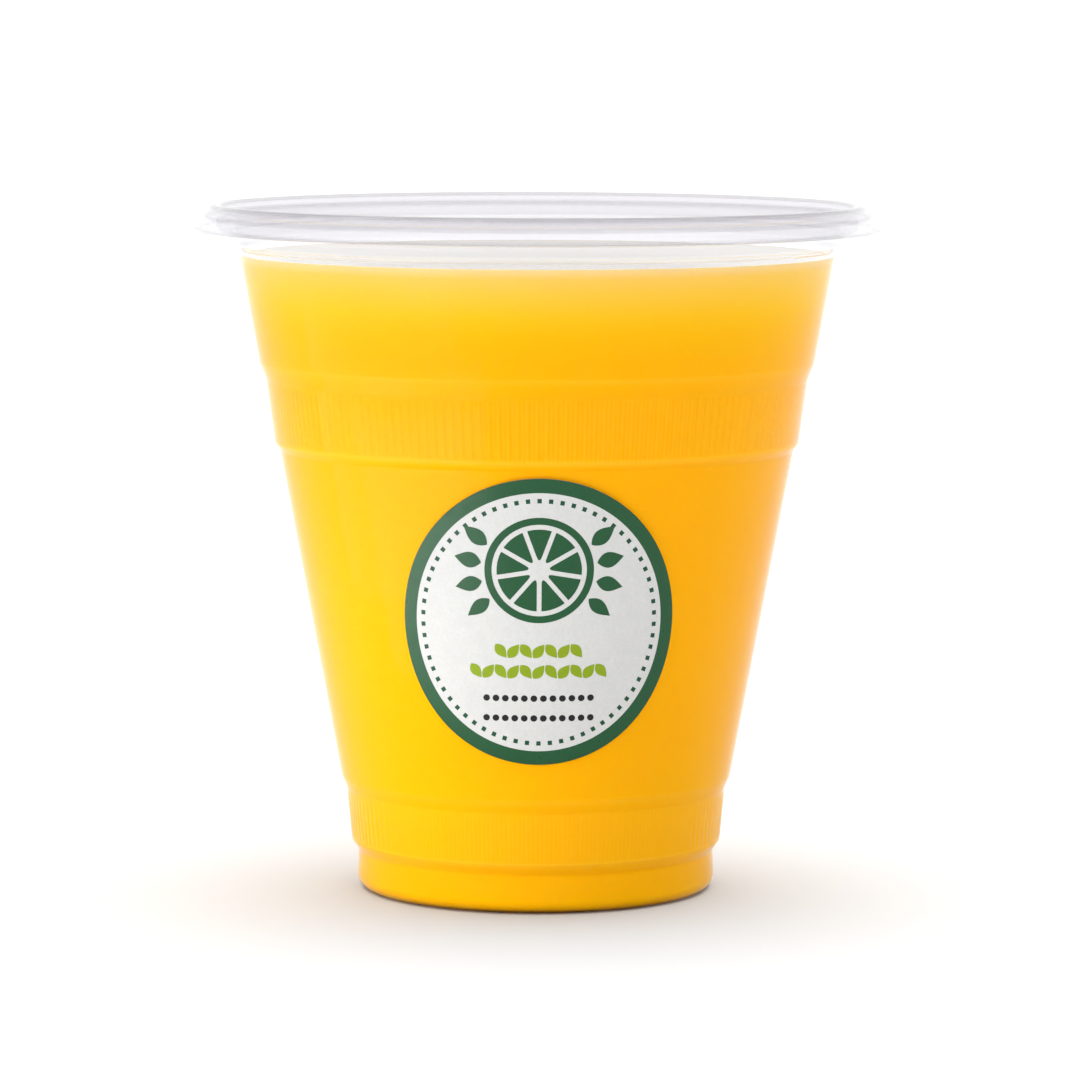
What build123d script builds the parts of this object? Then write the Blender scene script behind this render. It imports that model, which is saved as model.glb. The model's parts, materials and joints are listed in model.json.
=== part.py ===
from build123d import *
import os
from math import atan, cos, sin, sqrt, tan, pi, degrees

# Takeaway cup of orange juice: a thin thermoformed cup with a rolled rim, a flat
# press-on lid with a raised ring and a flared skirt, the juice inside and a round
# paper sticker on the front.  Millimetres, +Z up, origin at the middle of the
# foot ring on the table.  The sticker faces -Y.

# ---------------------------------------------------------------- cup sizes
wall = 0.5                # wall thickness of the cup
push_up = 1.3             # height of the recessed base above the table
push_up_r = 21.0          # outer radius of the recessed base
foot_in_r = 22.0          # inner radius of the foot ring
foot_r = 25.95            # radius of the foot ring's outer corner
foot_round = 2.0          # rounding of the foot's outer edge

waist_r, waist_z = 25.69, 5.60            # small waist above the foot
low_band_r0, low_band_z0 = 26.70, 7.05    # lower gripping band, bottom edge
low_band_r1, low_band_z1 = 27.42, 14.60   # lower gripping band, top
cone_r0, cone_z0 = 28.207, 16.45          # long smooth cone, bottom
cone_r1, cone_z1 = 37.004, 63.70          # long smooth cone, top
up_band_r0, up_band_z0 = 37.764, 64.81    # upper gripping band, bottom edge
up_band_r1, up_band_z1 = 38.967, 73.85    # upper gripping band, top
head_r0, head_z0 = 39.922, 76.24          # smooth head, bottom edge
head_r1, head_z1 = 42.84, 92.50           # smooth head, top
collar_r0, collar_z0 = 43.82, 92.72       # stacking collar, bottom edge
collar_r1, collar_z1 = 43.98, 93.80       # stacking collar, where it turns vertical

rim_top_z = 97.55         # top of the rolled rim
rim_out_r = 46.20         # outer radius of the rolled rim

# ---------------------------------------------------------------- contents
juice_z = 91.74           # height of the juice's surface

# ---------------------------------------------------------------- lid sizes
lid_t = 0.4               # sheet thickness of the lid
panel_z = 97.95           # top face of the recessed middle panel
panel_r = 44.95           # radius of the panel
crown_z = 98.90           # top of the raised ring
crown_in_r = 45.45        # raised ring, inner edge
crown_out_r = 46.60       # raised ring, outer edge
shoulder_r, shoulder_z = 48.17, 97.70     # where the shoulder meets the skirt
skirt_r, skirt_z = 48.20, 96.60           # bottom of the straight skirt
flare_r, flare_z = 48.72, 95.80           # knee of the flared edge
tip_r, tip_z = 49.46, 95.62               # outer lip

# ---------------------------------------------------------------- sticker
label_t = 0.15            # paper and adhesive
label_w = 39.6            # width of the flat sticker
label_h = 41.5            # height of the flat sticker
label_mid_z = 42.37       # height of the sticker's middle
label_turn = 0.68         # degrees by which it sits off the front
label_rise = 0.3          # share of the unrolled cone's rise that its sides follow


def offset_points(pts, t):
    """The same open polyline moved t to the left of its direction, mitred."""
    dirs = []
    for (x0, y0), (x1, y1) in zip(pts, pts[1:]):
        n = sqrt((x1 - x0) ** 2 + (y1 - y0) ** 2)
        dirs.append(((x1 - x0) / n, (y1 - y0) / n))
    out = [(pts[0][0] - t * dirs[0][1], pts[0][1] + t * dirs[0][0])]
    for (ax, ay), (bx, by), (x, y) in zip(dirs, dirs[1:], pts[1:]):
        nx, ny = -ay - by, ax + bx
        k = t / (nx * -ay + ny * ax)
        out.append((x + k * nx, y + k * ny))
    out.append((pts[-1][0] - t * dirs[-1][1], pts[-1][1] + t * dirs[-1][0]))
    return out


def offset_radii(pts, radii, t):
    """Fillet radii of the moved polyline: smaller on left turns, larger on right."""
    out = []
    for a, b, c, r in zip(pts, pts[1:], pts[2:], radii):
        left = (b[0] - a[0]) * (c[1] - b[1]) - (b[1] - a[1]) * (c[0] - b[0]) > 0
        out.append(r - t if left else r + t)
    return out


def path(pts, radii):
    return FilletPolyline(*pts, radius=radii).edges()


def turned(edges, angle=360.0, start=0.0):
    """The solid that a closed outline in the XZ half plane sweeps round Z."""
    face = Face(Wire(edges))
    body = revolve(face, Axis.Z, angle)
    return body.rotate(Axis.Z, start) if start else body


def one_solid(shape):
    solids = shape.solids()
    assert len(solids) == 1, len(solids)
    return solids[0]


def xz(points):
    return [(r, 0, z) for r, z in points]


# ---------------------------------------------------------------- cup outline
rim_r = (rim_out_r - (collar_r1 - wall)) / 2      # radius of the roll
rim_mid_r, rim_mid_z = rim_out_r - rim_r, rim_top_z - rim_r
roll_meets_z = rim_mid_z - sqrt(rim_r ** 2 - (rim_mid_r - collar_r1) ** 2)

outer = [
    (0.0, push_up),
    (push_up_r, push_up),
    (foot_in_r, 0.0),
    (foot_r, 0.0),
    (waist_r, waist_z),
    (low_band_r0, low_band_z0),
    (low_band_r1, low_band_z1),
    (cone_r0, cone_z0),
    (cone_r1, cone_z1),
    (up_band_r0, up_band_z0),
    (up_band_r1, up_band_z1),
    (head_r0, head_z0),
    (head_r1, head_z1),
    (collar_r0, collar_z0),
    (collar_r1, collar_z1),
    (collar_r1, roll_meets_z),
]
outer_radii = [0.8, 0.8, foot_round, 0.4, 0.65, 0.4, 0.65, 0.3, 0.65, 2.0, 0.8,
               0.2, 0.62, 1.5]

inner = offset_points(outer, wall)
inner_radii = offset_radii(outer, outer_radii, wall)
inner[0] = (0.0, inner[0][1])
inner[-1] = (collar_r1 - wall, rim_mid_z)

cup_edges = (
    path(xz(outer), outer_radii)
    + ThreePointArc(
        (collar_r1, 0, roll_meets_z),
        (rim_out_r, 0, rim_mid_z),
        (rim_mid_r, 0, rim_top_z),
    ).edges()
    + ThreePointArc(
        (rim_mid_r, 0, rim_top_z),
        (rim_mid_r - rim_r * cos(pi / 4), 0, rim_mid_z + rim_r * sin(pi / 4)),
        (collar_r1 - wall, 0, rim_mid_z),
    ).edges()
    + path(xz(inner), inner_radii)
    + Line((0, 0, inner[0][1]), (0, 0, push_up)).edges()
)
cup = one_solid(turned(cup_edges))

# ---------------------------------------------------------------- juice
# The juice fills the cup's inside up to its level, which lies on the smooth head.
(ra, za), (rb, zb) = inner[11], inner[12]
juice_r = ra + (rb - ra) * (juice_z - za) / (zb - za)
fill = inner[:12] + [(juice_r, juice_z)]
juice_edges = (
    path(xz(fill), inner_radii[:11])
    + Line((juice_r, 0, juice_z), (0, 0, juice_z)).edges()
    + Line((0, 0, juice_z), (0, 0, inner[0][1])).edges()
)
juice = one_solid(turned(juice_edges))

# ---------------------------------------------------------------- lid
top = [
    (0.0, panel_z),
    (panel_r, panel_z),
    (crown_in_r, crown_z),
    (crown_out_r, crown_z),
    (shoulder_r, shoulder_z),
    (skirt_r, skirt_z),
    (flare_r, flare_z),
    (tip_r, tip_z),
]
top_radii = [0.3, 0.5, 0.9, 0.9, 0.4, 0.3]
under = offset_points(top, -lid_t)
under_radii = offset_radii(top, top_radii, -lid_t)
lid_edges = (
    path(xz(top), top_radii)
    + Line((tip_r, 0, tip_z), (under[-1][0], 0, under[-1][1])).edges()
    + path(xz(under), under_radii)
    + Line((0, 0, under[0][1]), (0, 0, panel_z)).edges()
)
lid = one_solid(turned(lid_edges))

# ---------------------------------------------------------------- sticker
slope = (cone_r1 - cone_r0) / (cone_z1 - cone_z0)
lean = atan(slope)
apex_z = cone_z0 - cone_r0 / slope
mid_run = (label_mid_z - apex_z) / cos(lean)      # from the cone's apex to the middle


def cone_r(z):
    return cone_r0 + (z - cone_z0) * slope


def label_point(a):
    """A point of the sticker's edge as seen from the front.  The flat sticker is laid
    on the unrolled cone, whose sheet is a fan about the apex, and rolled up with it.
    The paper is stroked down at the sides, which so rise less than the fan does."""
    across, up = label_w / 2 * cos(a), label_h / 2 * sin(a)
    run = mid_run + up + label_rise * (sqrt((mid_run + up) ** 2 + across ** 2) - mid_run - up)
    turn = atan(across / (mid_run + up)) / sin(lean)
    r = run * sin(lean) + label_t * cos(lean)
    z = apex_z + run * cos(lean) - label_t * sin(lean)
    return (r * sin(turn), 0, z)


steps = 48
outline = Spline(*[label_point(2 * pi * i / steps) for i in range(steps)],
                 periodic=True)
prism = Solid.extrude(Face(Wire([outline])), Vector(0, -60, 0))

za = label_mid_z - (label_h / 2 + 0.4) * cos(lean)
zb = min(label_mid_z + (label_h / 2 + 0.6) * cos(lean), cone_z1 - 0.2)
out_t = label_t / cos(lean)
band = [
    (cone_r(za), 0, za),
    (cone_r(zb), 0, zb),
    (cone_r(zb) + out_t, 0, zb),
    (cone_r(za) + out_t, 0, za),
    (cone_r(za), 0, za),
]
skin = turned(Polyline(*band).edges(), 130.0, -155.0)
label = one_solid(skin & prism).rotate(Axis.Z, label_turn)

# ---------------------------------------------------------------- files
os.makedirs("parts", exist_ok=True)
for name, shape in (("cup", cup), ("juice", juice), ("lid", lid), ("label", label)):
    export_step(shape, f"parts/{name}.step")
    box = shape.bounding_box()
    print(name, round(shape.volume, 1), "mm3",
          [round(v, 2) for v in (*box.min, *box.max)])
print("juice surface radius", round(juice_r, 3), "lean", round(degrees(lean), 2))
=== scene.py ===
import json
import math

import bmesh
import bpy
import numpy as np
from mathutils import Matrix, Vector

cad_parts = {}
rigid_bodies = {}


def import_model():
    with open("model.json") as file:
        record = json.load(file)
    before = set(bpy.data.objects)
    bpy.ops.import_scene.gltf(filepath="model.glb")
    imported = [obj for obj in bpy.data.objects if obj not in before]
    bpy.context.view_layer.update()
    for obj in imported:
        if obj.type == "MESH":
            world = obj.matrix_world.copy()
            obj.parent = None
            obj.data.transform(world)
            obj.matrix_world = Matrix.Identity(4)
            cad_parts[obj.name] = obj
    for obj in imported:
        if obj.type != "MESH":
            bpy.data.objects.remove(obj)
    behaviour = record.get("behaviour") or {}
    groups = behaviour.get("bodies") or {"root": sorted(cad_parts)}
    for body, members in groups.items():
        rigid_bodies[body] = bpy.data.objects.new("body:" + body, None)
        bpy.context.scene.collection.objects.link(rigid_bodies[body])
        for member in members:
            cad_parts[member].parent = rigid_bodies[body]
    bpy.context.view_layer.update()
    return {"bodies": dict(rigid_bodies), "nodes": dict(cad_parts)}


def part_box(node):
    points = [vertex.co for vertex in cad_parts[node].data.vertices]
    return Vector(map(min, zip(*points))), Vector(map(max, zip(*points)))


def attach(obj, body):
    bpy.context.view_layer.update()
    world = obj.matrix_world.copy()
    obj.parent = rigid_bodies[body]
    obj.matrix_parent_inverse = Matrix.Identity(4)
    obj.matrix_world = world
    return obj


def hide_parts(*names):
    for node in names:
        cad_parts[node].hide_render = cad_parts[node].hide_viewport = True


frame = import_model()

MM = 0.001
scene = bpy.context.scene
ROOT = sorted(frame["bodies"])[0]

# ------------------------------------------------------------------ sizes, mm
# The same named sizes as the construction, some of them read off the CAD boxes.
WALL = 0.5
cup_lo, cup_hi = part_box("cup")
lid_lo, lid_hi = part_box("lid")
juice_lo, juice_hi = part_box("juice")
BASE_Z = cup_lo.z / MM
RIM_TOP = cup_hi.z / MM
RIM_OUT = cup_hi.x / MM
JUICE_Z = juice_hi.z / MM
LID_TOP = lid_hi.z / MM

cup_outer = [
    (0.0, 1.3), (21.0, 1.3), (22.0, 0.0), (25.95, 0.0), (25.69, 5.60),
    (26.70, 7.05), (27.42, 14.60), (28.207, 16.45), (37.004, 63.70),
    (37.764, 64.81), (38.967, 73.85), (39.922, 76.24), (42.84, 92.50),
    (43.82, 92.72), (43.98, 93.80), (43.98, 95.19),
]
cup_radii = [0.8, 0.8, 2.0, 0.4, 0.65, 0.4, 0.65, 0.3, 0.65, 2.0, 0.8, 0.2, 0.62, 1.5]

CONE_R0, CONE_Z0, CONE_R1, CONE_Z1 = 28.207, 16.45, 37.004, 63.70
SLOPE = (CONE_R1 - CONE_R0) / (CONE_Z1 - CONE_Z0)
LEAN = math.atan(SLOPE)
APEX_Z = CONE_Z0 - CONE_R0 / SLOPE


# ------------------------------------------------------------------ outlines
def moved(pts, t):
    """The polyline moved t to the left of its direction, mitred."""
    p = np.array(pts, float)
    d = np.diff(p, axis=0)
    d /= np.linalg.norm(d, axis=1)[:, None]
    out = [p[0] + t * np.array([-d[0][1], d[0][0]])]
    for a, b, q in zip(d, d[1:], p[1:]):
        n = np.array([-a[1] - b[1], a[0] + b[0]])
        out.append(q + n * t / (n @ np.array([-a[1], a[0]])))
    out.append(p[-1] + t * np.array([-d[-1][1], d[-1][0]]))
    return [tuple(q) for q in out]


def moved_radii(pts, radii, t):
    out = []
    for a, b, c, r in zip(pts, pts[1:], pts[2:], radii):
        left = (b[0] - a[0]) * (c[1] - b[1]) - (b[1] - a[1]) * (c[0] - b[0]) > 0
        out.append(max(r - t if left else r + t, 0.02))
    return out


def rounded(pts, radii, turn=9.0, least=3):
    """Points along a polyline whose corners are rounded, each arc in steps of turn degrees."""
    p = [np.array(q, float) for q in pts]
    out = [p[0]]
    for a, b, c, r in zip(p, p[1:], p[2:], radii):
        u, v = (a - b) / np.linalg.norm(a - b), (c - b) / np.linalg.norm(c - b)
        half = math.acos(max(-1.0, min(1.0, float(u @ v)))) / 2
        t = r / math.tan(half)
        m = (u + v) / np.linalg.norm(u + v)
        mid = b + m * (r / math.sin(half))
        s, e = b + u * t - mid, b + v * t - mid
        sweep = math.atan2(s[0] * e[1] - s[1] * e[0], float(s @ e))
        n = max(least, int(abs(math.degrees(sweep)) / turn) + 1)
        for i in range(n + 1):
            k = sweep * i / n
            out.append(mid + np.array([s[0] * math.cos(k) - s[1] * math.sin(k),
                                       s[0] * math.sin(k) + s[1] * math.cos(k)]))
    out.append(p[-1])
    return out


def arc(cx, cz, r, a0, a1, n):
    return [np.array([cx + r * math.cos(math.radians(a0 + (a1 - a0) * i / n)),
                      cz + r * math.sin(math.radians(a0 + (a1 - a0) * i / n))])
            for i in range(n + 1)]


def split_long(pts, step):
    """Adds points on the runs longer than step."""
    out = [pts[0]]
    for a, b in zip(pts, pts[1:]):
        n = max(1, int(np.linalg.norm(b - a) / step))
        out += [a + (b - a) * i / n for i in range(1, n + 1)]
    return out


# ------------------------------------------------------------------ meshes
def new_object(name, verts, faces, smooth=True, sharp=None):
    me = bpy.data.meshes.new(name)
    me.from_pydata([tuple(v) for v in verts], [], faces)
    me.validate()
    bm = bmesh.new()
    bm.from_mesh(me)
    bmesh.ops.recalc_face_normals(bm, faces=bm.faces)
    bm.to_mesh(me)
    bm.free()
    for poly in me.polygons:
        poly.use_smooth = smooth
    if sharp is not None:
        me.set_sharp_from_angle(angle=math.radians(sharp))
    ob = bpy.data.objects.new(name, me)
    scene.collection.objects.link(ob)
    return ob


class Lathe:
    """A closed skin made of rings round Z, each with its own number of points."""

    def __init__(self):
        self.verts, self.faces, self.last = [], [], None

    def ring(self, r, z, n, shape=None):
        start = len(self.verts)
        if r < 1e-6:
            self.verts.append((0.0, 0.0, z * MM))
            self._join(start, 1)
            return
        a = np.arange(n) * (2 * math.pi / n)
        rr = np.full(n, r) if shape is None else shape(a, r, z)
        zz = np.full(n, z)
        for x, y, w in zip(rr * np.sin(a), -rr * np.cos(a), zz):
            self.verts.append((x * MM, y * MM, w * MM))
        self._join(start, n)

    def _join(self, start, n):
        if self.last is not None:
            s0, n0 = self.last
            if n0 == n:
                for i in range(n):
                    j = (i + 1) % n
                    self.faces.append((s0 + i, s0 + j, start + j, start + i))
            elif n0 == 1:
                for i in range(n):
                    self.faces.append((s0, start + (i + 1) % n, start + i))
            elif n == 1:
                for i in range(n0):
                    self.faces.append((s0 + i, s0 + (i + 1) % n0, start))
            else:
                i = j = 0
                while i < n0 or j < n:
                    if j >= n or (i < n0 and (i + 1) / n0 <= (j + 1) / n):
                        self.faces.append((s0 + i % n0, s0 + (i + 1) % n0, start + j % n))
                        i += 1
                    else:
                        self.faces.append((s0 + i % n0, start + (j + 1) % n, start + j % n))
                        j += 1
        self.last = (start, n)

    def done(self, name, sharp=None):
        return new_object(name, self.verts, self.faces, sharp=sharp)


def ease(t):
    t = min(1.0, max(0.0, t))
    return t * t * (3 - 2 * t)


# ------------------------------------------------------------------ cup
rim_r = (RIM_OUT - (43.98 - WALL)) / 2
rim_c = (RIM_OUT - rim_r, RIM_TOP - rim_r)
roll_z = rim_c[1] - math.sqrt(rim_r ** 2 - (rim_c[0] - 43.98) ** 2)
cup_outer[-1] = (43.98, roll_z)
cup_inner = moved(cup_outer, WALL)
inner_radii = moved_radii(cup_outer, cup_radii, WALL)
cup_inner[0] = (0.0, cup_inner[0][1])
cup_inner[-1] = (43.98 - WALL, rim_c[1])

BANDS = [  # z from, z to, flutes, points a flute, fade length
    (7.25, 14.35, 132, 6, 0.7),
    (65.15, 73.65, 180, 6, 0.6),
]


def flute(count, depth, z0, z1, fade):
    def shape(a, r, z):
        k = ease((z - z0) / fade) * ease((z1 - z) / fade)
        return r - depth * k * (0.5 - 0.5 * np.cos(a * count))
    return shape


def rings(lathe, pts, depth):
    """Rings through pts, fluted to this depth where the cup's two bands are."""
    out = []
    for a, b in zip(pts, pts[1:]):
        out.append(a)
        for z0, z1, count, per, fade in BANDS:
            lo, hi = min(a[1], b[1]), max(a[1], b[1])
            if lo < z0 and hi > z1:
                zs = list(np.linspace(z0, z0 + fade, 6)) + list(np.linspace(z1 - fade, z1, 6))
                if a[1] > b[1]:
                    zs = zs[::-1]
                out += [a + (b - a) * (z - a[1]) / (b[1] - a[1]) for z in zs]
    out.append(pts[-1])
    for r, z in out:
        for z0, z1, count, per, fade in BANDS:
            if z0 - 1e-6 <= z <= z1 + 1e-6 and r > 23:
                lathe.ring(r, z, count * per, flute(count, depth, z0, z1, fade))
                break
        else:
            lathe.ring(r, z, 240)


def make_cup():
    lathe = Lathe()
    rings(lathe, rounded(cup_outer, cup_radii), 0.07)
    a0 = math.degrees(math.atan2(roll_z - rim_c[1], 43.98 - rim_c[0]))
    for r, z in arc(rim_c[0], rim_c[1], rim_r, a0, 180, 30)[1:]:
        lathe.ring(r, z, 240)
    rings(lathe, rounded(cup_inner, inner_radii)[::-1][1:], 0.2)
    return lathe.done("cup_wall")


# ------------------------------------------------------------------ juice
INTO = 0.06     # how far the juice reaches into the wall, so that no air shows


def make_juice():
    side = moved(cup_inner[:13], -INTO)
    side[0] = (0.0, side[0][1])
    radii = moved_radii(cup_inner[:13], inner_radii[:11], -INTO)
    (ra, za), (rb, zb) = side[11], side[12]
    climb = 0.12                 # the surface creeps up the wall
    top = JUICE_Z
    r_top = ra + (rb - ra) * (top - za) / (zb - za)
    path = rounded(side[:12] + [(r_top, top)], radii)
    lathe = Lathe()
    rings(lathe, path, 0.2)
    for k in (0.0, 0.12, 0.25, 0.45, 0.7, 1.0, 1.4, 1.9, 2.6, 3.6, 5.0):
        r = r_top - 0.05 - k
        lathe.ring(r, top - climb + climb * math.exp(-k / 0.8) * 0.98, 240)
    for r in (34.0, 28.0, 21.0, 14.0, 7.0, 0.0):
        lathe.ring(r, top - climb, 240 if r > 20 else 120)
    ob = lathe.done("juice_fill", sharp=50)
    return ob


# ------------------------------------------------------------------ lid
lid_top = [
    (0.0, 97.95), (44.95, 97.95), (45.45, 98.90), (46.60, 98.90),
    (48.17, 97.70), (48.20, 96.60), (48.72, 95.80), (49.46, 95.62),
]
lid_radii = [0.3, 0.5, 0.9, 0.9, 0.4, 0.3]
LID_T = 0.4


def make_lid():
    shift = LID_TOP - 98.90
    top = [(r, z + shift) for r, z in lid_top]
    under = moved(top, -LID_T)
    under[0] = (0.0, under[0][1])
    a = rounded(top, lid_radii, turn=6)
    b = rounded(under, moved_radii(top, lid_radii, -LID_T), turn=6)
    (xa, za), (xb, zb) = a[-1], b[-1]
    mid, d = np.array([(xa + xb) / 2, (za + zb) / 2]), np.array([xa - xb, za - zb]) / 2
    out = np.array([d[1], -d[0]])
    lip = [mid + d * math.cos(k) + out * math.sin(k) * 0.55
           for k in np.linspace(0, math.pi, 7)]
    lathe = Lathe()
    for r, z in a[:-1] + lip + b[::-1][1:]:
        r = min(r, 49.46)
        lathe.ring(r, z, 300)
    return lathe.done("lid_shell")


# ------------------------------------------------------------------ sticker
LABEL_T = 0.15
LABEL_MID_Z, LABEL_TURN = 42.37, math.radians(0.68)
LABEL_RISE = 0.3         # share of the unrolled cone's rise that the sides follow
MID_RUN = (LABEL_MID_Z - APEX_Z) / math.cos(LEAN)


def on_cone(x, y, off):
    """A point x across and y up on the flat sticker, off above the cup's skin."""
    run = MID_RUN + y + LABEL_RISE * (math.hypot(MID_RUN + y, x) - MID_RUN - y)
    turn = math.atan2(x, MID_RUN + y) / math.sin(LEAN) + LABEL_TURN
    r = run * math.sin(LEAN) + off * math.cos(LEAN)
    z = APEX_Z + run * math.cos(LEAN) - off * math.sin(LEAN)
    return (r * math.sin(turn) * MM, -r * math.cos(turn) * MM, z * MM)


DOTS = 66


def make_label():
    rings = [  # across, up, height above the cup, what lies outside it
        (19.80, 20.75, 0.100, "ring"), (19.76, 20.71, 0.140, "ring"),
        (19.66, 20.61, LABEL_T, "ring"), (18.7, 19.7, LABEL_T, "ring"),
        (17.76, 18.72, LABEL_T, "ring"),
        (17.02, 17.90, LABEL_T, "paper"), (16.38, 17.26, LABEL_T, "dots"),
    ]
    for k in (0.86, 0.72, 0.58, 0.44, 0.30, 0.16):
        rings.append((16.38 * k / 0.93, 17.26 * k / 0.93, LABEL_T, "paper"))
    cols = []
    for i in range(DOTS):
        for f in (-0.19, 0.19, 0.40, 0.60):
            cols.append((i + 0.5 + f) * 2 * math.pi / DOTS)
    n = len(cols)
    verts, faces, mats = [], [], []
    verts += [on_cone(19.80 * math.cos(a), 20.75 * math.sin(a), -0.02) for a in cols]
    for ra, rb, off, _ in rings:
        verts += [on_cone(ra * math.cos(a), rb * math.sin(a), off) for a in cols]
    names = ["edge"] + [r[3] for r in rings]
    slot = {"paper": 0, "edge": 0, "ring": 1, "dots": 2}
    for k in range(len(rings)):
        for i in range(n):
            j = (i + 1) % n
            what = "edge" if k == 0 else rings[k][3]
            if what == "dots" and i % 4 != 0:
                what = "paper"
            faces.append((k * n + i, k * n + j, (k + 1) * n + j, (k + 1) * n + i))
            mats.append(slot[what])
    verts.append(on_cone(0, 0, LABEL_T))
    last = len(rings) * n
    for i in range(n):
        faces.append((last + i, last + (i + 1) % n, len(verts) - 1))
        mats.append(0)
    # underside
    inner, prev = [0.8, 0.6, 0.4, 0.2], 0
    for k in inner:
        start = len(verts)
        verts += [on_cone(19.8 * k * math.cos(a), 20.75 * k * math.sin(a), -0.02) for a in cols]
        for i in range(n):
            j = (i + 1) % n
            faces.append((prev + j, prev + i, start + i, start + j))
            mats.append(0)
        prev = start
    verts.append(on_cone(0, 0, -0.02))
    for i in range(n):
        faces.append((prev + (i + 1) % n, prev + i, len(verts) - 1))
        mats.append(0)
    me = bpy.data.meshes.new("sticker_paper")
    me.from_pydata(verts, [], faces)
    for poly, m in zip(me.polygons, mats):
        poly.material_index = m
        poly.use_smooth = True
    bm = bmesh.new()
    bm.from_mesh(me)
    bmesh.ops.recalc_face_normals(bm, faces=bm.faces)
    bm.to_mesh(me)
    bm.free()
    me.set_sharp_from_angle(angle=math.radians(40))
    ob = bpy.data.objects.new("sticker", me)
    scene.collection.objects.link(ob)
    return ob


def ink(name, loops, up=0.012):
    """A thin closed layer of ink: flat outlines (first solid, then its holes) laid on the sticker."""
    bm = bmesh.new()
    for outline, holes in loops:
        edges = []
        for loop in [outline] + holes:
            vs = [bm.verts.new((x, y, 0)) for x, y in loop]
            edges += [bm.edges.new((a, b)) for a, b in zip(vs, vs[1:] + vs[:1])]
        bmesh.ops.triangle_fill(bm, use_beauty=True, use_dissolve=False, edges=edges)
    for k in range(-22, 23):
        bmesh.ops.bisect_plane(bm, geom=bm.verts[:] + bm.edges[:] + bm.faces[:],
                               plane_co=(k * 0.8 + 0.037, 0, 0), plane_no=(1, 0, 0))
    bmesh.ops.triangulate(bm, faces=bm.faces[:])
    low = bmesh.ops.extrude_face_region(bm, geom=bm.faces[:])
    lifted = {v for v in low["geom"] if isinstance(v, bmesh.types.BMVert)}
    for v in bm.verts:
        v.co = on_cone(v.co.x, v.co.y, LABEL_T + (up if v in lifted else -0.04))
    bmesh.ops.recalc_face_normals(bm, faces=bm.faces)
    me = bpy.data.meshes.new(name)
    bm.to_mesh(me)
    bm.free()
    ob = bpy.data.objects.new(name, me)
    scene.collection.objects.link(ob)
    return ob


def circle(cx, cy, r, n=72, a0=0.0, a1=360.0):
    full = abs(a1 - a0) >= 359.99
    m = n if full else n + 1
    return [(cx + r * math.cos(math.radians(a0 + (a1 - a0) * i / n)),
             cy + r * math.sin(math.radians(a0 + (a1 - a0) * i / n))) for i in range(m)]


def soft(poly, r, n=6):
    """A polygon with its corners rounded."""
    out, m = [], len(poly)
    for i in range(m):
        a, b, c = (np.array(poly[(i + k) % m], float) for k in (-1, 0, 1))
        u, v = (a - b) / np.linalg.norm(a - b), (c - b) / np.linalg.norm(c - b)
        half = math.acos(max(-1.0, min(1.0, float(u @ v)))) / 2
        if half > 1.5:
            out.append(tuple(b))
            continue
        t = min(r / math.tan(half), 0.45 * np.linalg.norm(a - b), 0.45 * np.linalg.norm(c - b))
        for k in range(n + 1):
            s = k / n
            q = (b + u * t) * (1 - s) ** 2 + b * 2 * s * (1 - s) + (b + v * t) * s ** 2
            out.append(tuple(q))
    return out


def leaf(x, y, length, width, angle, n=28):
    out = []
    for i in range(n + 1):
        t = i / n
        out.append((t * length, width * math.sin(math.pi * t ** 0.85) * (1 - 0.15 * t)))
    for i in range(1, n):
        t = 1 - i / n
        out.append((t * length, -width * math.sin(math.pi * t ** 0.85) * (1 - 0.15 * t)))
    c, s = math.cos(math.radians(angle)), math.sin(math.radians(angle))
    return [(x + c * a - s * b, y + s * a + c * b) for a, b in out]


def stroke(points, w):
    """A band of width w along a line of points, with round ends."""
    p = [np.array(q, float) for q in points]
    left, right = [], []
    for i, q in enumerate(p):
        d = p[min(i + 1, len(p) - 1)] - p[max(i - 1, 0)]
        d /= np.linalg.norm(d)
        nrm = np.array([-d[1], d[0]]) * w / 2
        left.append(q + nrm)
        right.append(q - nrm)

    def cap(c, a):
        base = math.atan2(*(a - c)[::-1])
        return [c + w / 2 * np.array([math.cos(base - k), math.sin(base - k)])
                for k in np.linspace(0, math.pi, 9)[1:-1]]

    out = left + cap(p[-1], left[-1]) + right[::-1] + cap(p[0], right[0])
    return [tuple(q) for q in out]


def wheel(cx, cy, ro, rim, gap_r, n, gap, turn=90):
    """A slice of citrus: a rim and n rounded segments."""
    out = [(circle(cx, cy, ro, 96), [circle(cx, cy, ro - rim, 96)])]
    rr, half = ro - rim - gap_r, 180 / n
    for i in range(n):
        mid = turn + i * 360 / n
        m = np.array([math.cos(math.radians(mid)), math.sin(math.radians(mid))])
        keep = [tuple(m * (gap / math.sin(math.radians(half))))]
        for k in np.linspace(-half, half, 15):
            q = rr * np.array([math.cos(math.radians(mid + k)), math.sin(math.radians(mid + k))])
            for e, sgn in ((mid - half, 1), (mid + half, -1)):
                e = math.radians(e)
                nrm = sgn * np.array([-math.sin(e), math.cos(e)])
                if q @ nrm < gap:
                    q = q + nrm * (gap - q @ nrm)
            if math.dist(q, keep[-1]) > 0.12:
                keep.append(tuple(q))
        out.append(([(cx + x, cy + y) for x, y in soft(keep, 0.4)], []))
    return out


def leaf_row(y, n, pitch, length, width, tilt):
    """A line of small leaves, leaning to one side and the other by turns."""
    out = []
    for i in range(n):
        a = math.radians(tilt if i % 2 else -tilt)
        x = (i - (n - 1) / 2) * pitch
        out.append((leaf(x - length / 2 * math.cos(a), y - length / 2 * math.sin(a),
                         length, width, math.degrees(a), 14), []))
    return out


def bead_row(x, y, n, pitch, r):
    return [(circle(x + (i - (n - 1) / 2) * pitch, y, r, 24), []) for i in range(n)]


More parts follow.
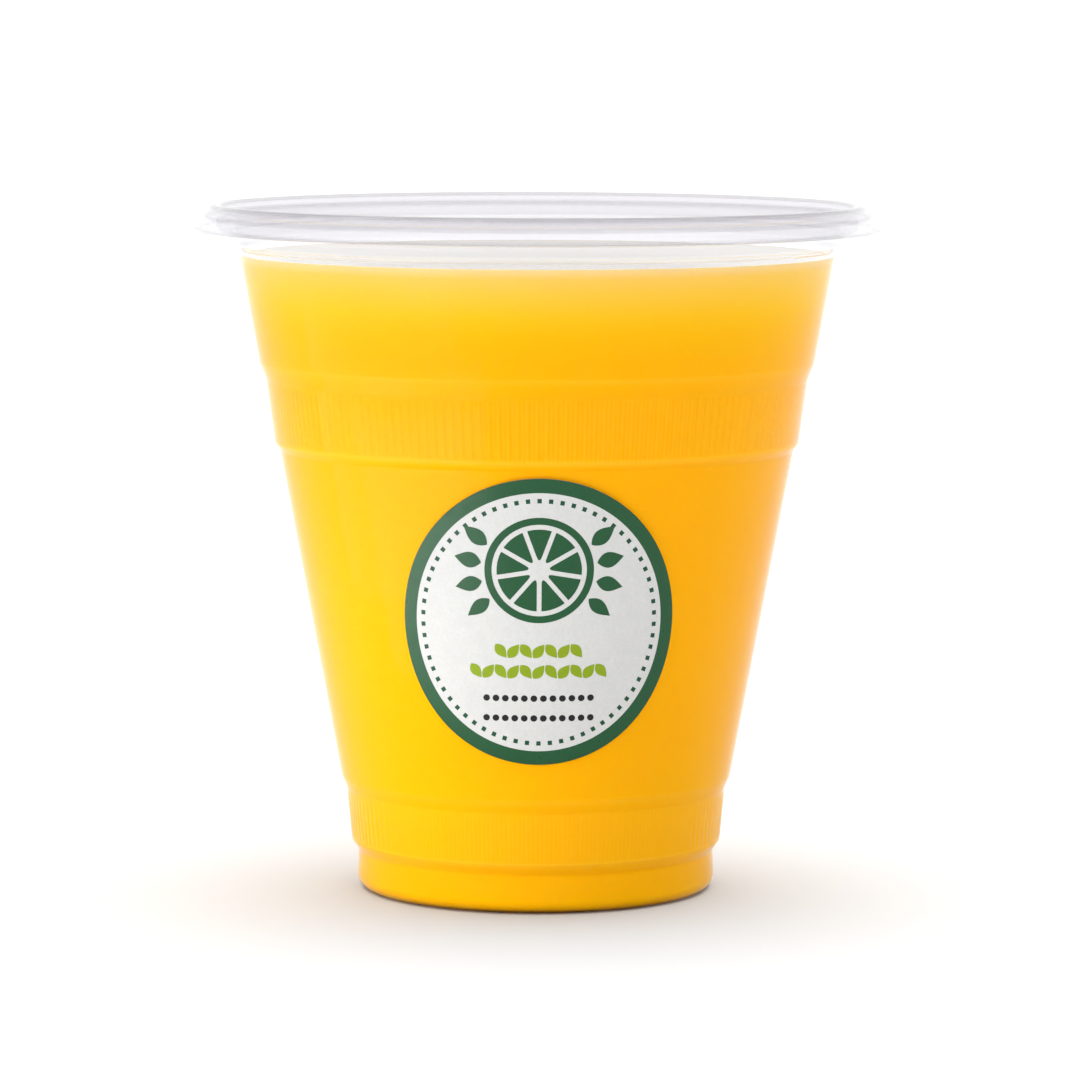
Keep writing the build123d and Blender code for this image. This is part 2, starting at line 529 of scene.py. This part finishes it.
def make_motif():
    dark = wheel(0.0, 7.6, 7.6, 1.0, 0.7, 9, 0.33)
    for f in (1, -1):
        for y, lean, length, width in ((11.2, 38, 4.2, 1.15), (8.6, 12, 3.9, 1.2),
                                       (5.9, -14, 3.9, 1.15), (3.4, -40, 4.0, 1.05)):
            x = f * (math.sqrt(7.6 ** 2 - (y - 7.6) ** 2) + 0.55)
            dark.append((leaf(x, y, length, width, lean if f > 0 else 180 - lean), []))
    green = ink("sticker_slice", dark)
    lime = leaf_row(-4.1, 7, 1.75, 2.5, 0.78, 52) + leaf_row(-7.1, 11, 1.75, 2.5, 0.78, 52)
    lime_ob = ink("sticker_leaves", lime)
    black = ink("sticker_dots", bead_row(0, -11.0, 12, 1.32, 0.47)
                + bead_row(0, -13.9, 12, 1.32, 0.47))
    return green, lime_ob, black


# ------------------------------------------------------------------ materials
def srgb(r, g, b):
    def f(v):
        v /= 255
        return v / 12.92 if v <= 0.04045 else ((v + 0.055) / 1.055) ** 2.4
    return (f(r), f(g), f(b), 1.0)


class Mat:
    def __init__(self, name):
        self.m = bpy.data.materials.new(name)
        self.m.use_nodes = True
        self.nt = self.m.node_tree
        self.nt.nodes.clear()
        self.out = self.node("ShaderNodeOutputMaterial")
        self.p = self.node("ShaderNodeBsdfPrincipled")
        self.link(self.p.outputs[0], self.out.inputs["Surface"])

    def node(self, kind, **kw):
        n = self.nt.nodes.new(kind)
        for k, v in kw.items():
            setattr(n, k, v)
        return n

    def link(self, a, b):
        self.nt.links.new(a, b)

    def set(self, **kw):
        for k, v in kw.items():
            self.p.inputs[k.replace("_", " ")].default_value = v
        return self

    def coords(self):
        return self.node("ShaderNodeTexCoord").outputs["Object"]

    def noise(self, scale, detail=3.0, rough=0.5, coord=None):
        n = self.node("ShaderNodeTexNoise")
        n.inputs["Scale"].default_value = scale
        n.inputs["Detail"].default_value = detail
        n.inputs["Roughness"].default_value = rough
        self.link(coord or self.coords(), n.inputs["Vector"])
        return n.outputs["Fac"]

    def ranged(self, value, a, b, c, d):
        n = self.node("ShaderNodeMapRange")
        for k, v in zip(("From Min", "From Max", "To Min", "To Max"), (a, b, c, d)):
            n.inputs[k].default_value = v
        self.link(value, n.inputs["Value"])
        return n.outputs[0]

    def ramp(self, value, stops):
        n = self.node("ShaderNodeValToRGB")
        e = n.color_ramp.elements
        while len(e) > 1:
            e.remove(e[-1])
        e[0].position, e[0].color = stops[0]
        for pos, col in stops[1:]:
            x = e.new(pos)
            x.color = col
        self.link(value, n.inputs[0])
        return n.outputs[0]

    def mix(self, fac, a, b, mode="MIX"):
        n = self.node("ShaderNodeMix", data_type="RGBA", blend_type=mode)
        for s, v in ((n.inputs[0], fac), (n.inputs[6], a), (n.inputs[7], b)):
            if isinstance(v, (int, float, tuple)):
                s.default_value = v
            else:
                self.link(v, s)
        return n.outputs[2]

    def bump(self, height, strength, dist):
        n = self.node("ShaderNodeBump")
        n.inputs["Strength"].default_value = strength
        n.inputs["Distance"].default_value = dist
        self.link(height, n.inputs["Height"])
        self.link(n.outputs[0], self.p.inputs["Normal"])
        return n


def clear_plastic(name, tint, rough, sheen, ior=1.2, bands=None, coat=0.0, coat_ior=1.3,
                  square_on=None):
    m = Mat(name).set(Base_Color=tint, IOR=ior, Transmission_Weight=1.0, Metallic=0.0)
    if coat:
        m.set(Coat_Weight=coat, Coat_Roughness=rough, Coat_IOR=coat_ior)
    m.set(Sheen_Weight=sheen, Sheen_Roughness=0.35)
    coord = m.coords()
    if bands:                        # painted shade and light: the tint is scaled by height, darker in thin bands at the bends and lighter in one, standing in for the dark lines and light that the bent plastic shows
        xyz = m.node("ShaderNodeSeparateXYZ")
        m.link(coord, xyz.inputs[0])
        z0, z1 = bands[0][0], bands[-1][0]
        up = m.ranged(xyz.outputs["Z"], z0 * MM, z1 * MM, 0.0, 1.0)
        m.link(m.ramp(up, [((z - z0) / (z1 - z0), (tint[0] * k, tint[1] * k, tint[2] * k, 1.0))
                           for z, k in bands]), m.p.inputs["Base Color"])
    if square_on:                    # clearer square-on than along the sheet
        look = m.node("ShaderNodeLayerWeight")
        look.inputs["Blend"].default_value = 0.5
        m.link(m.mix(m.ranged(look.outputs["Facing"], 0.62, 0.86, 0.0, 1.0), square_on, tint),
               m.p.inputs["Base Color"])
    wear = m.noise(180.0, 4.0, 0.6, coord)
    m.link(m.ranged(wear, 0.3, 0.7, rough * 0.8, rough * 1.25), m.p.inputs["Roughness"])
    m.bump(m.noise(420.0, 2.0, 0.5, coord), 0.06, 0.0002)
    return m.m


def juice_material(name, top):
    m = Mat(name)
    coord = m.coords()
    xyz = m.node("ShaderNodeSeparateXYZ")
    m.link(coord, xyz.inputs[0])
    up = m.ranged(xyz.outputs["Z"], 0.0, JUICE_Z * MM, 0.0, 1.0)
    # painted light: the juice's colour follows its height and is painted paler over the top tenth,
    # standing in for light coming in through the lid and the surface
    stops = [(0.0, 255, 183, 0), (0.17, 255, 183, 0), (0.27, 255, 179, 0), (0.60, 255, 178, 0),
             (0.70, 255, 180, 0), (0.80, 255, 180, 0), (0.86, 255, 184, 0), (0.90, 255, 190, 3),
             (0.93, 255, 198, 28), (0.961, 255, 204, 68), (0.985, 255, 208, 96),
             (1.0, 255, 220, 160)]
    body = m.ramp(up, [(q[0], srgb(*q[1:])) for q in stops])
    for z, half, painted_bend_highlight in ((7.1, 0.5, 0.10), (16.2, 0.6, 0.05), (64.8, 0.5, 0.11), (76.2, 0.6, 0.06)):
        # painted highlight: a pale line is painted into the juice's colour at each outward bend of
        # the wall, standing in for the light the bends catch
        near = m.node("ShaderNodeMath", operation="ABSOLUTE")
        m.link(m.ranged(xyz.outputs["Z"], (z - 1) * MM, (z + 1) * MM, -1.0, 1.0), near.inputs[0])
        body = m.mix(m.ranged(near.outputs[0], half * 0.2, half, painted_bend_highlight, 0.0), body, srgb(255, 214, 92))
    turn = m.node("ShaderNodeMath", operation="ARCTAN2")
    m.link(xyz.outputs["X"], turn.inputs[0])
    back = m.node("ShaderNodeMath", operation="MULTIPLY")
    m.link(xyz.outputs["Y"], back.inputs[0])
    back.inputs[1].default_value = -1.0
    m.link(back.outputs[0], turn.inputs[1])
    for z0, z1, count, per, fade in BANDS:
        # painted shade and highlight on each rib: a darker orange is painted into the grooves and
        # pale lines along the ribs, standing in for their shading and sheen
        wave = m.node("ShaderNodeMath", operation="MULTIPLY")
        m.link(turn.outputs[0], wave.inputs[0])
        wave.inputs[1].default_value = count
        rib = m.node("ShaderNodeMath", operation="COSINE")
        m.link(wave.outputs[0], rib.inputs[0])
        twice = m.node("ShaderNodeMath", operation="MULTIPLY")
        m.link(wave.outputs[0], twice.inputs[0])
        twice.inputs[1].default_value = 2.0
        edge = m.node("ShaderNodeMath", operation="COSINE")
        m.link(twice.outputs[0], edge.inputs[0])
        inside = m.node("ShaderNodeMath", operation="MULTIPLY")
        m.link(m.ranged(xyz.outputs["Z"], (z0 - 0.4) * MM, z0 * MM, 0.0, 1.0), inside.inputs[0])
        m.link(m.ranged(xyz.outputs["Z"], z1 * MM, (z1 + 0.6) * MM, 1.0, 0.0), inside.inputs[1])
        painted_rib_shade = m.node("ShaderNodeMath", operation="MULTIPLY")
        m.link(m.ranged(rib.outputs[0], -1.0, 0.0, 0.05, 0.0), painted_rib_shade.inputs[0])
        m.link(inside.outputs[0], painted_rib_shade.inputs[1])
        body = m.mix(painted_rib_shade.outputs[0], body, srgb(244, 160, 0))
        painted_rib_highlight = m.node("ShaderNodeMath", operation="MULTIPLY")
        m.link(m.ranged(edge.outputs[0], 0.0, 1.0, 0.0, 0.09), painted_rib_highlight.inputs[0])
        m.link(inside.outputs[0], painted_rib_highlight.inputs[1])
        body = m.mix(painted_rib_highlight.outputs[0], body, srgb(255, 214, 92))
    pulp = m.noise(900.0, 3.0, 0.6, coord)
    cloud = m.noise(60.0, 3.0, 0.5, coord)
    col = m.mix(m.ranged(pulp, 0.45, 0.75, 0.0, 0.08), body, srgb(255, 212, 60))
    col = m.mix(m.ranged(cloud, 0.35, 0.7, 0.0, 0.10), col, srgb(255, 178, 0))
    m.link(col, m.p.inputs["Base Color"])
    m.set(Subsurface_Weight=0.2, Subsurface_Scale=0.003, IOR=1.35)
    m.p.inputs["Subsurface Radius"].default_value = (1.0, 0.6, 0.12)
    if top:
        # painted reflection: the surface is painted pale where it is seen along it and juice-coloured
        # where seen from above, standing in for the white surroundings it reflects at grazing angles;
        # pulp speckles both
        low = m.node("ShaderNodeLayerWeight")
        low.inputs["Blend"].default_value = 0.5
        steep = m.mix(m.ranged(pulp, 0.40, 0.75, 0.0, 0.45), srgb(255, 198, 0), srgb(255, 214, 40))
        flat = m.mix(m.ranged(pulp, 0.45, 0.75, 0.0, 0.3), srgb(255, 246, 222), srgb(255, 250, 234))
        m.link(m.mix(m.ranged(low.outputs["Facing"], 0.70, 0.87, 0.0, 1.0), steep, flat),
               m.p.inputs["Base Color"])
        m.set(Coat_Weight=0.15, Coat_IOR=1.4, Coat_Roughness=0.03)
        m.link(m.ranged(pulp, 0.3, 0.7, 0.02, 0.05), m.p.inputs["Roughness"])
        m.bump(cloud, 0.02, 0.0005)
    else:
        m.set(Specular_IOR_Level=0.0)
        m.link(m.ranged(pulp, 0.3, 0.7, 0.5, 0.6), m.p.inputs["Roughness"])
        m.bump(pulp, 0.05, 0.0002)
    return m.m


def paper(name, colour, dark, rough=0.62, gloss=0.5):
    m = Mat(name).set(Specular_IOR_Level=gloss)
    coord = m.coords()
    grain = m.noise(2600.0, 4.0, 0.65, coord)
    fibre = m.noise(520.0, 5.0, 0.7, coord)
    col = m.mix(m.ranged(grain, 0.35, 0.7, 0.0, 0.5), colour, dark)
    col = m.mix(m.ranged(fibre, 0.4, 0.7, 0.0, 0.35), col, dark)
    m.link(col, m.p.inputs["Base Color"])
    m.link(m.ranged(fibre, 0.3, 0.7, rough - 0.08, rough + 0.08), m.p.inputs["Roughness"])
    m.bump(grain, 0.12, 0.0001)
    return m.m


cup_mat = clear_plastic("cup_plastic", (0.99, 0.985, 0.985, 1), 0.10, 0.05, ior=1.14)
# painted light and shade: the rim's tint is painted lighter just above the juice and darker in bands
# higher up
rim_mat = clear_plastic("cup_plastic_rim", (0.90, 0.897, 0.91, 1), 0.10, 0.0,
                        ior=1.0, coat=1.0, coat_ior=1.2, bands=[
    (91.7, 1.08), (93.2, 1.08), (93.5, 0.98), (94.4, 0.97), (94.8, 1.0), (97.0, 1.0),
    (97.3, 0.9), (97.6, 0.9)])
# painted shade: the lid's tint is painted darker in thin bands at its bends
lid_mat = clear_plastic("lid_plastic", (0.863, 0.854, 0.875, 1), 0.06, 0.0,
                        ior=1.0, coat=1.0, coat_ior=1.25, bands=[
    (95.2, 0.88), (95.62, 0.88), (95.75, 0.97), (95.9, 1.0), (96.75, 1.0),
    (96.95, 0.84), (97.35, 0.84), (97.6, 1.0), (98.2, 1.0), (98.42, 0.92),
    (98.55, 0.70), (98.86, 0.70), (98.9, 0.80)])
panel_mat = clear_plastic("lid_plastic_panel", (0.865, 0.857, 0.875, 1), 0.06, 0.0,
                          ior=1.0, coat=0.25, coat_ior=1.25, square_on=(0.99, 0.99, 0.99, 1))
juice_mat = juice_material("orange_juice", False)
juice_top_mat = juice_material("orange_juice_surface", True)
paper_mat = paper("sticker_paper", srgb(193, 193, 191), srgb(178, 178, 177), 0.62, 0.22)
green_mat = paper("print_green", srgb(17, 73, 39), srgb(13, 63, 33), 0.34, 0.3)
dot_mat = paper("print_dark_green", srgb(14, 66, 42), srgb(12, 58, 36), 0.40, 0.25)
lime_mat = paper("print_lime", srgb(124, 146, 12), srgb(110, 132, 8), 0.45, 0.25)
black_mat = paper("print_black", srgb(20, 20, 22), srgb(12, 12, 14), 0.45, 0.25)

# ------------------------------------------------------------------ pieces
cup_ob = make_cup()
cup_ob.data.materials.append(cup_mat)
cup_ob.data.materials.append(rim_mat)
for poly in cup_ob.data.polygons:
    if poly.center.z > (JUICE_Z + 0.02) * MM:
        poly.material_index = 1
juice_ob = make_juice()
juice_ob.data.materials.append(juice_mat)
juice_ob.data.materials.append(juice_top_mat)
for poly in juice_ob.data.polygons:
    if poly.center.z > (JUICE_Z - 0.6) * MM and poly.normal.z > 0.15:
        poly.material_index = 1
lid_ob = make_lid()
lid_ob.data.materials.append(lid_mat)
lid_ob.data.materials.append(panel_mat)
for poly in lid_ob.data.polygons:
    if math.hypot(poly.center.x, poly.center.y) < 44.6 * MM:
        poly.material_index = 1
label_ob = make_label()
for mm in (paper_mat, green_mat, dot_mat):
    label_ob.data.materials.append(mm)
slice_ob, leaves_ob, dots_ob = make_motif()
slice_ob.data.materials.append(green_mat)
leaves_ob.data.materials.append(lime_mat)
dots_ob.data.materials.append(black_mat)

for ob, node, slot in ((cup_ob, "cup", "cup_plastic"), (juice_ob, "juice", "orange_juice"),
                       (lid_ob, "lid", "lid_plastic"), (label_ob, "label", "sticker_paper")):
    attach(ob, ROOT)
    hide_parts(node)
for ob in (slice_ob, leaves_ob, dots_ob):
    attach(ob, ROOT)

cad_mats = {"cup": cup_mat, "juice": juice_mat, "lid": lid_mat, "label": paper_mat}
for name, ob in frame["nodes"].items():
    for s in ob.material_slots:
        s.material = cad_mats[name]

# ------------------------------------------------------------------ floor
fl = bpy.data.meshes.new("floor")
fl.from_pydata([(-60, -60, 0), (60, -60, 0), (60, 60, 0), (-60, 60, 0)], [], [(0, 1, 2, 3)])
floor = bpy.data.objects.new("floor", fl)
scene.collection.objects.link(floor)
SKY = 1.035
FLOOR = (0.44, 0.48, 0.54)
fm = Mat("floor_white").set(Base_Color=(*FLOOR, 1), Roughness=0.9)
fm.set(Specular_IOR_Level=0.0)
fl.materials.append(fm.m)

# ------------------------------------------------------------------ light
world = bpy.data.worlds.new("studio")
scene.world = world
world.use_nodes = True
bg = world.node_tree.nodes["Background"]
bg.inputs[0].default_value = (1.0, 1.0, 1.0, 1.0)
bg.inputs[1].default_value = SKY


def softbox(name, where, at, w, h, power, colour=(1, 1, 1)):
    d = bpy.data.lights.new(name, "AREA")
    d.shape, d.size, d.size_y, d.energy, d.color = "RECTANGLE", w, h, power, colour
    ob = bpy.data.objects.new(name, d)
    scene.collection.objects.link(ob)
    ob.location = where
    ob.rotation_euler = (Vector(at) - Vector(where)).to_track_quat("-Z", "Y").to_euler()
    return ob


def only_on(lamp, name, things):
    """The lamp lights these objects and no others."""
    group = bpy.data.collections.new(name)
    for ob in things:
        group.objects.link(ob)
    lamp.light_linking.receiver_collection = group


pieces = [cup_ob, juice_ob, lid_ob, label_ob, slice_ob, leaves_ob, dots_ob]


def beside(name, azimuth, away, z, w, h, power):
    """A small panel close to the cup, on its left, facing it."""
    a = math.radians(azimuth)
    return softbox(name, (-away * math.sin(a), -away * math.cos(a), z), (0, 0, z), w, h, power)


fill = softbox("fill", (0.95, -0.95, 0.5), (0, 0, 0.05), 1.2, 1.0, 3.5)
side_low = beside("side_low", 62, 0.12, 0.022, 0.16, 0.06, 0.0455)
side_mid = beside("side_mid", 45, 0.09, 0.025, 0.09, 0.05, 0.0306)
for lamp in (fill, side_low, side_mid):
    lamp.visible_camera = False
    only_on(lamp, "lit_by_" + lamp.name, pieces)

# A broad light over the floor, a little behind the cup.  With the sky light it makes
# the floor an even near white, and it leaves the soft grey shadow under the cup.
TOP_TILT = math.radians(12)
top_d = bpy.data.lights.new("top", "SUN")
top_d.angle = math.radians(80)
ratio = [(1.26 - SKY * c) / c for c in FLOOR]
top_d.color = [r / max(ratio) for r in ratio]
top_d.energy = max(ratio) * math.pi / math.cos(TOP_TILT)
top = bpy.data.objects.new("top", top_d)
scene.collection.objects.link(top)
top.rotation_euler = (-TOP_TILT, 0, 0)
only_on(top, "lit_by_top", [floor])
# the clear lid lets this light through; the juice and the cup stand in its way
blockers = bpy.data.collections.new("shade_under_top")
for ob in (cup_ob, juice_ob, label_ob):
    blockers.objects.link(ob)
top.light_linking.blocker_collection = blockers

# ------------------------------------------------------------------ camera
FOCAL_PX, PITCH, CAM_Y, CAM_Z = 5110.0, math.radians(6.103), -0.73493, 0.128954
ROLL = math.radians(0.155)
cam_d = bpy.data.cameras.new("camera")
cam_d.sensor_width = 36.0
cam_d.sensor_fit = "HORIZONTAL"
cam_d.lens = FOCAL_PX / 1080 * 36.0
cam_d.clip_start, cam_d.clip_end = 0.01, 50
cam = bpy.data.objects.new("camera", cam_d)
scene.collection.objects.link(cam)
cam.matrix_world = (Matrix.Translation((0.0005, CAM_Y, CAM_Z))
                    @ Matrix.Rotation(math.pi / 2 - PITCH, 4, "X")
                    @ Matrix.Rotation(ROLL, 4, "Z"))
scene.camera = cam

scene.view_settings.view_transform = "Standard"
scene.view_settings.look = "None"
scene.view_settings.exposure = 0.0
scene.view_settings.gamma = 1.0
scene.cycles.max_bounces = 24
scene.cycles.transmission_bounces = 20
scene.cycles.glossy_bounces = 8
scene.cycles.diffuse_bounces = 12
scene.cycles.transparent_max_bounces = 16
